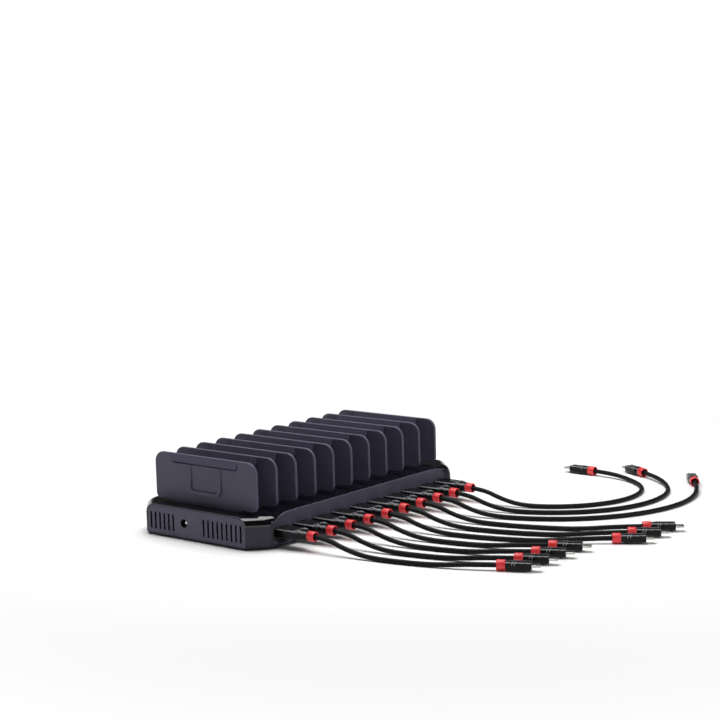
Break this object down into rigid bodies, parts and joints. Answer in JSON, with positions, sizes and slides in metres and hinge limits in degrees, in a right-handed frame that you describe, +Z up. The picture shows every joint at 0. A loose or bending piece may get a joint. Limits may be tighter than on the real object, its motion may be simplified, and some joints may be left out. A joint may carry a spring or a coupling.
{
  "type": "charging station organizer",
  "caption": "Low multi-port charging station with upright dividers that hold phones and tablets on edge, and short leads plugged into a row of sockets along its side.",
  "frame": {"origin": "on the table, under the middle of the housing", "axes": "+X to the socket side, +Y from the front plate to the back, +Z up"},
  "size_m": [0.3707, 0.4159, 0.0658],
  "materials": {
    "gloss_black": "polished moulding",
    "black_plastic": "satin moulding",
    "charcoal_plastic": "fine matte texture",
    "circuit_board": "solder mask",
    "plated_steel": "nickel plated",
    "bright_pin": "plated",
    "chip_black": "moulded epoxy",
    "aluminium": "plain",
    "ferrite": "sintered",
    "rubber": "matte",
    "cord_black": "smooth matte jacket",
    "plug_black": "fine texture",
    "collar_red": "satin moulding"
  },
  "bodies": {
    "base": {"bottom_shell": "charcoal_plastic", "top_shell": "gloss_black", "port_panel": "charcoal_plastic", "front_vent_plate": "charcoal_plastic", "rear_vent_plate": "charcoal_plastic", "circuit_board": "circuit_board", "usb_socket_shells": "plated_steel", "usb_socket_tongues": "black_plastic", "dc_jack_body": "black_plastic", "dc_jack_pin": "bright_pin", "charger_chips": "chip_black", "heat_sink": "aluminium", "power_inductors": "ferrite", "filter_capacitors": "aluminium", "rubber_feet": "rubber", "case_screws": "plated_steel", "board_screws": "plated_steel"},
    "divider_01": {"divider_01": "charcoal_plastic"},
    "divider_02": {"divider_02": "charcoal_plastic"},
    "divider_03": {"divider_03": "charcoal_plastic"},
    "divider_04": {"divider_04": "charcoal_plastic"},
    "divider_05": {"divider_05": "charcoal_plastic"},
    "divider_06": {"divider_06": "charcoal_plastic"},
    "divider_07": {"divider_07": "charcoal_plastic"},
    "divider_08": {"divider_08": "charcoal_plastic"},
    "divider_09": {"divider_09": "charcoal_plastic"},
    "divider_10": {"divider_10": "charcoal_plastic"},
    "divider_11": {"divider_11": "charcoal_plastic"},
    "usb_lead_01": {"usb_lead_01_cord": "cord_black", "usb_lead_01_plugs": "plug_black", "usb_lead_01_collars": "collar_red"},
    "usb_lead_02": {"usb_lead_02_cord": "cord_black", "usb_lead_02_plugs": "plug_black", "usb_lead_02_collars": "collar_red"},
    "usb_lead_03": {"usb_lead_03_cord": "cord_black", "usb_lead_03_plugs": "plug_black", "usb_lead_03_collars": "collar_red"},
    "usb_lead_04": {"usb_lead_04_cord": "cord_black", "usb_lead_04_plugs": "plug_black", "usb_lead_04_collars": "collar_red"},
    "usb_lead_05": {"usb_lead_05_cord": "cord_black", "usb_lead_05_plugs": "plug_black", "usb_lead_05_collars": "collar_red"},
    "usb_lead_06": {"usb_lead_06_cord": "cord_black", "usb_lead_06_plugs": "plug_black", "usb_lead_06_collars": "collar_red"},
    "usb_lead_07": {"usb_lead_07_cord": "cord_black", "usb_lead_07_plugs": "plug_black", "usb_lead_07_collars": "collar_red"},
    "usb_lead_08": {"usb_lead_08_cord": "cord_black", "usb_lead_08_plugs": "plug_black", "usb_lead_08_collars": "collar_red"},
    "usb_lead_09": {"usb_lead_09_cord": "cord_black", "usb_lead_09_plugs": "plug_black", "usb_lead_09_collars": "collar_red"},
    "usb_lead_10": {"usb_lead_10_cord": "cord_black", "usb_lead_10_plugs": "plug_black", "usb_lead_10_collars": "collar_red"}
  },
  "joints": [
    {"name": "divider_01_lift", "type": "slide", "parent": "base", "child": "divider_01", "axis": [0, 0, 1], "range_m": [0, 0.02]},
    {"name": "divider_02_lift", "type": "slide", "parent": "base", "child": "divider_02", "axis": [0, 0, 1], "range_m": [0, 0.02]},
    {"name": "divider_03_lift", "type": "slide", "parent": "base", "child": "divider_03", "axis": [0, 0, 1], "range_m": [0, 0.02]},
    {"name": "divider_04_lift", "type": "slide", "parent": "base", "child": "divider_04", "axis": [0, 0, 1], "range_m": [0, 0.02]},
    {"name": "divider_05_lift", "type": "slide", "parent": "base", "child": "divider_05", "axis": [0, 0, 1], "range_m": [0, 0.02]},
    {"name": "divider_06_lift", "type": "slide", "parent": "base", "child": "divider_06", "axis": [0, 0, 1], "range_m": [0, 0.02]},
    {"name": "divider_07_lift", "type": "slide", "parent": "base", "child": "divider_07", "axis": [0, 0, 1], "range_m": [0, 0.02]},
    {"name": "divider_08_lift", "type": "slide", "parent": "base", "child": "divider_08", "axis": [0, 0, 1], "range_m": [0, 0.02]},
    {"name": "divider_09_lift", "type": "slide", "parent": "base", "child": "divider_09", "axis": [0, 0, 1], "range_m": [0, 0.02]},
    {"name": "divider_10_lift", "type": "slide", "parent": "base", "child": "divider_10", "axis": [0, 0, 1], "range_m": [0, 0.02]},
    {"name": "divider_11_lift", "type": "slide", "parent": "base", "child": "divider_11", "axis": [0, 0, 1], "range_m": [0, 0.02]},
    {"name": "usb_lead_01_unplug", "type": "slide", "parent": "base", "child": "usb_lead_01", "axis": [1, 0, 0], "range_m": [0, 0.0125]},
    {"name": "usb_lead_02_unplug", "type": "slide", "parent": "base", "child": "usb_lead_02", "axis": [1, 0, 0], "range_m": [0, 0.0125]},
    {"name": "usb_lead_03_unplug", "type": "slide", "parent": "base", "child": "usb_lead_03", "axis": [1, 0, 0], "range_m": [0, 0.0125]},
    {"name": "usb_lead_04_unplug", "type": "slide", "parent": "base", "child": "usb_lead_04", "axis": [1, 0, 0], "range_m": [0, 0.0125]},
    {"name": "usb_lead_05_unplug", "type": "slide", "parent": "base", "child": "usb_lead_05", "axis": [1, 0, 0], "range_m": [0, 0.0125]},
    {"name": "usb_lead_06_unplug", "type": "slide", "parent": "base", "child": "usb_lead_06", "axis": [1, 0, 0], "range_m": [0, 0.0125]},
    {"name": "usb_lead_07_unplug", "type": "slide", "parent": "base", "child": "usb_lead_07", "axis": [1, 0, 0], "range_m": [0, 0.0125]},
    {"name": "usb_lead_08_unplug", "type": "slide", "parent": "base", "child": "usb_lead_08", "axis": [1, 0, 0], "range_m": [0, 0.0125]},
    {"name": "usb_lead_09_unplug", "type": "slide", "parent": "base", "child": "usb_lead_09", "axis": [1, 0, 0], "range_m": [0, 0.0125]},
    {"name": "usb_lead_10_unplug", "type": "slide", "parent": "base", "child": "usb_lead_10", "axis": [1, 0, 0], "range_m": [0, 0.0125]}
  ]
}
